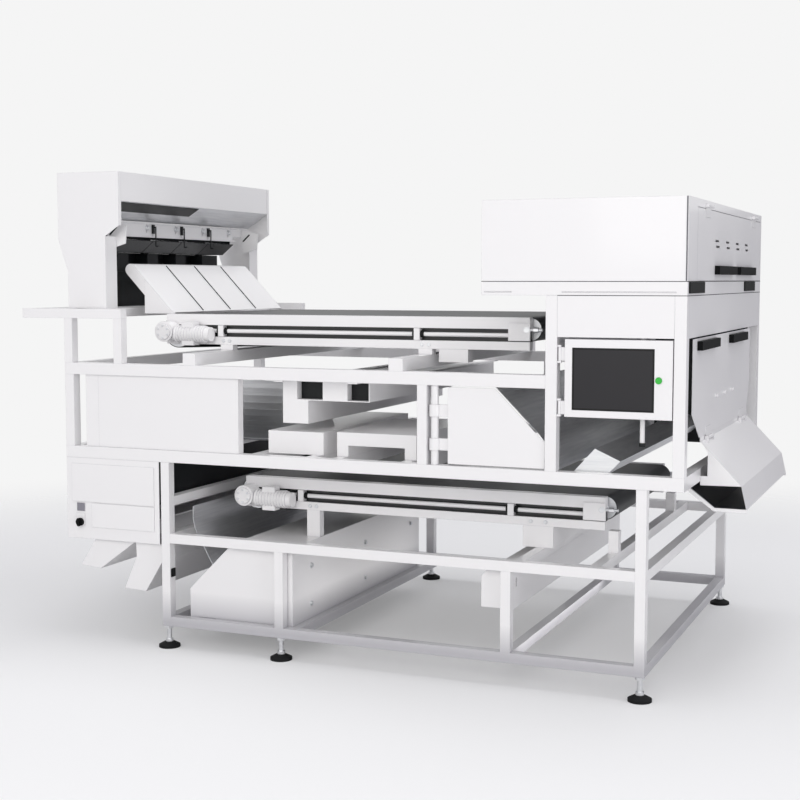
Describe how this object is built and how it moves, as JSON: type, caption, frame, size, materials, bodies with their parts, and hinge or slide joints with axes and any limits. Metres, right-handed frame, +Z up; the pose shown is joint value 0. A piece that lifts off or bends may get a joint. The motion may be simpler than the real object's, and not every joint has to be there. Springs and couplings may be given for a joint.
{
  "type": "optical colour sorter",
  "caption": "Belt-type optical sorter: hopper tower, vibrating feed, stacked belt conveyors, sorting head with a screen, product outlet and a lower box, on an open tube frame.",
  "frame": {"origin": "middle of the footprint, on the floor", "axes": "+X along the belts from the hopper to the product outlet, +Y to the back, +Z up"},
  "size_m": [3.046, 1.7738, 2.012],
  "materials": {
    "white_paint": "gloss powder coat",
    "stainless": "brushed",
    "black_rubber": "matte",
    "belt_rubber": "satin",
    "black_plastic": "matte",
    "dark_paint": "satin",
    "lamp_glass": "opal",
    "screen_glass": "satin",
    "green_plastic": "gloss"
  },
  "bodies": {
    "machine": {"lower_frame": "white_paint", "upper_frame": "white_paint", "conveyor_beams": "white_paint", "service_duct": "white_paint", "tower_sides": "white_paint", "gate_bar": "white_paint", "feed_slide": "white_paint", "side_rails": "white_paint", "gearmotors": "white_paint", "rail_fittings": "white_paint", "head_pan": "white_paint", "head_hood": "white_paint", "head_skirt": "white_paint", "accept_outlet": "white_paint", "mid_covers": "white_paint", "extraction_duct": "white_paint", "sorter_box": "white_paint", "sorter_covers": "white_paint", "sorter_spouts": "white_paint", "lower_cabinet": "white_paint", "hopper_bin": "white_paint", "foot_stems": "stainless", "belt_beds": "stainless", "tension_bolts": "stainless", "ejector_bar": "stainless", "chute_sheets": "stainless", "foot_pads": "black_rubber", "corner_pads": "black_rubber", "slide_dividers": "black_rubber", "upper_belt": "belt_rubber", "lower_belt": "belt_rubber", "feeder_drives": "dark_paint", "camera_bar": "dark_paint", "black_fittings": "dark_paint", "lamp_tubes": "lamp_glass"},
    "gate_1": {"feed_gate_1": "white_paint"},
    "knob_1": {"gate_knob_1": "stainless"},
    "tray_1": {"feeder_tray_1": "dark_paint"},
    "gate_2": {"feed_gate_2": "white_paint"},
    "knob_2": {"gate_knob_2": "stainless"},
    "tray_2": {"feeder_tray_2": "dark_paint"},
    "gate_3": {"feed_gate_3": "white_paint"},
    "knob_3": {"gate_knob_3": "stainless"},
    "tray_3": {"feeder_tray_3": "dark_paint"},
    "gate_4": {"feed_gate_4": "white_paint"},
    "knob_4": {"gate_knob_4": "stainless"},
    "tray_4": {"feeder_tray_4": "dark_paint"},
    "upper_drive": {"upper_drive_roller": "stainless"},
    "upper_tail": {"upper_tail_roller": "stainless"},
    "lower_drive": {"lower_drive_roller": "stainless"},
    "lower_tail": {"lower_tail_roller": "stainless"},
    "hood_door": {"hood_door": "white_paint", "hood_door_pulls": "black_plastic"},
    "side_door": {"side_door": "white_paint", "side_door_pulls": "black_plastic"},
    "screen": {"screen_housing": "white_paint", "screen_glass": "screen_glass"},
    "button": {"start_button": "green_plastic"},
    "switch": {"main_switch": "black_plastic"},
    "chamber_door": {"chamber_door": "white_paint"}
  },
  "joints": [
    {"name": "gate_1_lift", "type": "slide", "parent": "machine", "child": "gate_1", "axis": [0, 0, 1], "range_m": [-0.009, 0.012]},
    {"name": "knob_1_turn", "type": "hinge", "parent": "machine", "child": "knob_1", "pos_m": [-1.256, -0.3, 1.784], "axis": [1, 0, 0], "continuous": true},
    {"name": "tray_1_shake", "type": "slide", "parent": "machine", "child": "tray_1", "axis": [1, 0, 0], "range_m": [-0.002, 0.002], "stiffness_N_per_m": 200000},
    {"name": "gate_2_lift", "type": "slide", "parent": "machine", "child": "gate_2", "axis": [0, 0, 1], "range_m": [-0.009, 0.012]},
    {"name": "knob_2_turn", "type": "hinge", "parent": "machine", "child": "knob_2", "pos_m": [-1.256, -0.05, 1.784], "axis": [1, 0, 0], "continuous": true},
    {"name": "tray_2_shake", "type": "slide", "parent": "machine", "child": "tray_2", "axis": [1, 0, 0], "range_m": [-0.002, 0.002], "stiffness_N_per_m": 200000},
    {"name": "gate_3_lift", "type": "slide", "parent": "machine", "child": "gate_3", "axis": [0, 0, 1], "range_m": [-0.009, 0.012]},
    {"name": "knob_3_turn", "type": "hinge", "parent": "machine", "child": "knob_3", "pos_m": [-1.256, 0.2, 1.784], "axis": [1, 0, 0], "continuous": true},
    {"name": "tray_3_shake", "type": "slide", "parent": "machine", "child": "tray_3", "axis": [1, 0, 0], "range_m": [-0.002, 0.002], "stiffness_N_per_m": 200000},
    {"name": "gate_4_lift", "type": "slide", "parent": "machine", "child": "gate_4", "axis": [0, 0, 1], "range_m": [-0.009, 0.012]},
    {"name": "knob_4_turn", "type": "hinge", "parent": "machine", "child": "knob_4", "pos_m": [-1.256, 0.45, 1.784], "axis": [1, 0, 0], "continuous": true},
    {"name": "tray_4_shake", "type": "slide", "parent": "machine", "child": "tray_4", "axis": [1, 0, 0], "range_m": [-0.002, 0.002], "stiffness_N_per_m": 200000},
    {"name": "upper_drive_turn", "type": "hinge", "parent": "machine", "child": "upper_drive", "pos_m": [-0.964, 0, 1.322], "axis": [0, 1, 0], "continuous": true},
    {"name": "upper_tail_turn", "type": "hinge", "parent": "machine", "child": "upper_tail", "pos_m": [0.658, 0, 1.349], "axis": [0, 1, 0], "continuous": true},
    {"name": "lower_drive_turn", "type": "hinge", "parent": "machine", "child": "lower_drive", "pos_m": [-0.577, 0, 0.627], "axis": [0, 1, 0], "continuous": true},
    {"name": "lower_tail_turn", "type": "hinge", "parent": "machine", "child": "lower_tail", "pos_m": [0.97, 0, 0.654], "axis": [0, 1, 0], "continuous": true},
    {"name": "hood_door_hinge", "type": "hinge", "parent": "machine", "child": "hood_door", "pos_m": [1.356, 0, 1.821], "axis": [0, -1, 0], "range_deg": [0, 100]},
    {"name": "side_door_hinge", "type": "hinge", "parent": "machine", "child": "side_door", "pos_m": [1.356, 0, 0.944], "axis": [0, 1, 0], "range_deg": [0, 100]},
    {"name": "screen_hinge", "type": "hinge", "parent": "machine", "child": "screen", "pos_m": [0.881, -0.853, 1.186], "axis": [0, 0, -1], "range_deg": [0, 80]},
    {"name": "button_press", "type": "slide", "parent": "screen", "child": "button", "axis": [0, 1, 0], "range_m": [0, 0.003], "stiffness_N_per_m": 1500},
    {"name": "switch_turn", "type": "hinge", "parent": "machine", "child": "switch", "pos_m": [-1.241, -0.862, 0.509], "axis": [0, 1, 0], "range_deg": [0, 90]},
    {"name": "chamber_door_hinge", "type": "hinge", "parent": "machine", "child": "chamber_door", "pos_m": [0.382, -0.838, 0.99], "axis": [0, 0, -1], "range_deg": [0, 100]}
  ],
  "couplings": [
    {"joint": "upper_tail_turn", "follows": "upper_drive_turn", "ratio": 1.6},
    {"joint": "lower_tail_turn", "follows": "lower_drive_turn", "ratio": 1.6}
  ]
}
